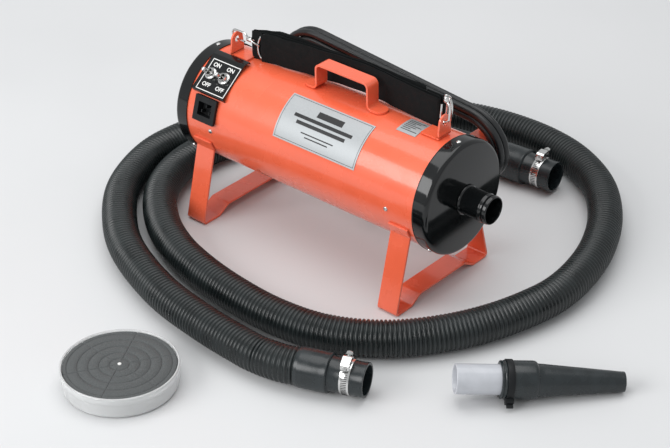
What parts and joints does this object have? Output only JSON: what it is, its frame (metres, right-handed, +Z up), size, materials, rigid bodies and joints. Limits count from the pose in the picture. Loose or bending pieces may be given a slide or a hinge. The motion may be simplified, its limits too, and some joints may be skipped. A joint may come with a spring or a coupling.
{
  "type": "pet dryer",
  "caption": "Cylindrical high-velocity pet dryer on bent strap stands, with carry handle, shoulder strap, ribbed hose, cone nozzle, spare foam filter and power cord.",
  "frame": {"origin": "on the floor, under the middle of the footprint of the dryer, nozzle and filter dish", "axes": "+X along the dryer's body from its intake end to its air outlet, +Z up, -Y towards the side that carries the switches"},
  "size_m": [0.8702, 0.8956, 0.2863],
  "materials": {
    "coral_paint": "coral red powder coat, semi-gloss",
    "black_gloss": "gloss black enamel",
    "black_plastic": "satin black moulding",
    "cord_jacket": "satin black jacket",
    "hose_rubber": "ribbed soft black vinyl",
    "webbing": "woven black webbing",
    "bright_steel": "bright plated",
    "satin_steel": "satin",
    "wound_rotor": "laminations and enamelled wire",
    "aluminium": "satin",
    "grey_pvc": "satin",
    "clear_plastic": "clear",
    "grey_foam": "open-cell foam"
  },
  "bodies": {
    "dryer": {"body_tube": "coral_paint", "stand_left": "coral_paint", "stand_right": "coral_paint", "carry_handle": "coral_paint", "lug_left": "coral_paint", "lug_right": "coral_paint", "cord_bracket_left": "coral_paint", "cord_bracket_right": "coral_paint", "outlet_end_cap": "black_gloss", "intake_end_cap": "black_gloss", "outlet_tube": "black_gloss", "intake_grille": "black_gloss", "switch_plate": "black_gloss", "switch_1_body": "black_plastic", "switch_2_body": "black_plastic", "power_inlet": "black_plastic", "motor_1_mounting_seal": "black_plastic", "motor_2_mounting_seal": "black_plastic", "cord_connector": "black_plastic", "power_plug": "black_plastic", "cord_hank": "cord_jacket", "cord_connector_tail": "cord_jacket", "cord_plug_tail": "cord_jacket", "hose": "hose_rubber", "cuff_a": "hose_rubber", "cuff_b": "hose_rubber", "shoulder_strap": "webbing", "switch_1_nut": "bright_steel", "switch_2_nut": "bright_steel", "strap_ring_left": "bright_steel", "strap_ring_right": "bright_steel", "strap_left_hook": "bright_steel", "strap_right_hook": "bright_steel", "cuff_a_clamp": "bright_steel", "cuff_b_clamp": "bright_steel", "motor_1_bearing": "bright_steel", "motor_2_bearing": "bright_steel", "motor_1_frame": "satin_steel", "motor_2_frame": "satin_steel", "name_plate": "aluminium", "rating_plate": "aluminium", "motor_1_fan_case": "aluminium", "motor_2_fan_case": "aluminium"},
    "switch_1_lever": {"switch_1_lever": "bright_steel"},
    "switch_2_lever": {"switch_2_lever": "bright_steel"},
    "motor_1_rotating": {"motor_1_rotor": "wound_rotor", "motor_1_fan": "aluminium"},
    "motor_2_rotating": {"motor_2_rotor": "wound_rotor", "motor_2_fan": "aluminium"},
    "cuff_a_clamp_screw": {"cuff_a_clamp_screw": "bright_steel"},
    "cuff_b_clamp_screw": {"cuff_b_clamp_screw": "bright_steel"},
    "strap_left_gate": {"strap_left_gate": "bright_steel"},
    "strap_right_gate": {"strap_right_gate": "bright_steel"},
    "nozzle_tube": {"nozzle_tube": "grey_pvc"},
    "nozzle_cone": {"nozzle_cone": "hose_rubber", "nozzle_tie": "black_plastic"},
    "filter_dish": {"filter_dish": "clear_plastic"},
    "foam_filter": {"foam_filter": "grey_foam"}
  },
  "joints": [
    {"name": "switch_1_tilt", "type": "hinge", "parent": "dryer", "child": "switch_1_lever", "pos_m": [-0.3245, 0.14458, 0.21758], "axis": [-1, 0, 0], "range_deg": [0, 24]},
    {"name": "switch_2_tilt", "type": "hinge", "parent": "dryer", "child": "switch_2_lever", "pos_m": [-0.2996, 0.14458, 0.21758], "axis": [-1, 0, 0], "range_deg": [0, 24]},
    {"name": "motor_1_spin", "type": "hinge", "parent": "dryer", "child": "motor_1_rotating", "pos_m": [-0.2453, 0.1962, 0.1503], "axis": [1, 0, 0], "continuous": true},
    {"name": "motor_2_spin", "type": "hinge", "parent": "dryer", "child": "motor_2_rotating", "pos_m": [-0.0853, 0.1962, 0.1503], "axis": [1, 0, 0], "continuous": true},
    {"name": "cuff_a_screw_turn", "type": "hinge", "parent": "dryer", "child": "cuff_a_clamp_screw", "pos_m": [0.11141, -0.07561, 0.05216], "axis": [-0.3348, 0.85, 0.4067], "continuous": true},
    {"name": "cuff_b_screw_turn", "type": "hinge", "parent": "dryer", "child": "cuff_b_clamp_screw", "pos_m": [-0.00496, 0.48407, 0.05453], "axis": [-0.0696, 0.9951, 0.0698], "continuous": true},
    {"name": "strap_left_gate_open", "type": "hinge", "parent": "dryer", "child": "strap_left_gate", "pos_m": [-0.3063, 0.1962, 0.2505], "axis": [0, 1, 0], "range_deg": [0, 22], "stiffness_Nm_per_rad": 0.02},
    {"name": "strap_right_gate_open", "type": "hinge", "parent": "dryer", "child": "strap_right_gate", "pos_m": [0.0369, 0.1986, 0.2726], "axis": [0, -0.9942, 0.1075], "range_deg": [0, 10], "stiffness_Nm_per_rad": 0.02},
    {"name": "nozzle_lift", "type": "slide", "parent": "dryer", "child": "nozzle_tube", "axis": [0, 0, 1], "range_m": [0, 0.3]},
    {"name": "cone_pull", "type": "slide", "parent": "nozzle_tube", "child": "nozzle_cone", "axis": [0.6888, 0.7183, -0.0976], "range_m": [0, 0.06]},
    {"name": "dish_lift", "type": "slide", "parent": "dryer", "child": "filter_dish", "axis": [0, 0, 1], "range_m": [0, 0.3]},
    {"name": "foam_lift", "type": "slide", "parent": "filter_dish", "child": "foam_filter", "axis": [0, 0, 1], "range_m": [0, 0.08]}
  ]
}
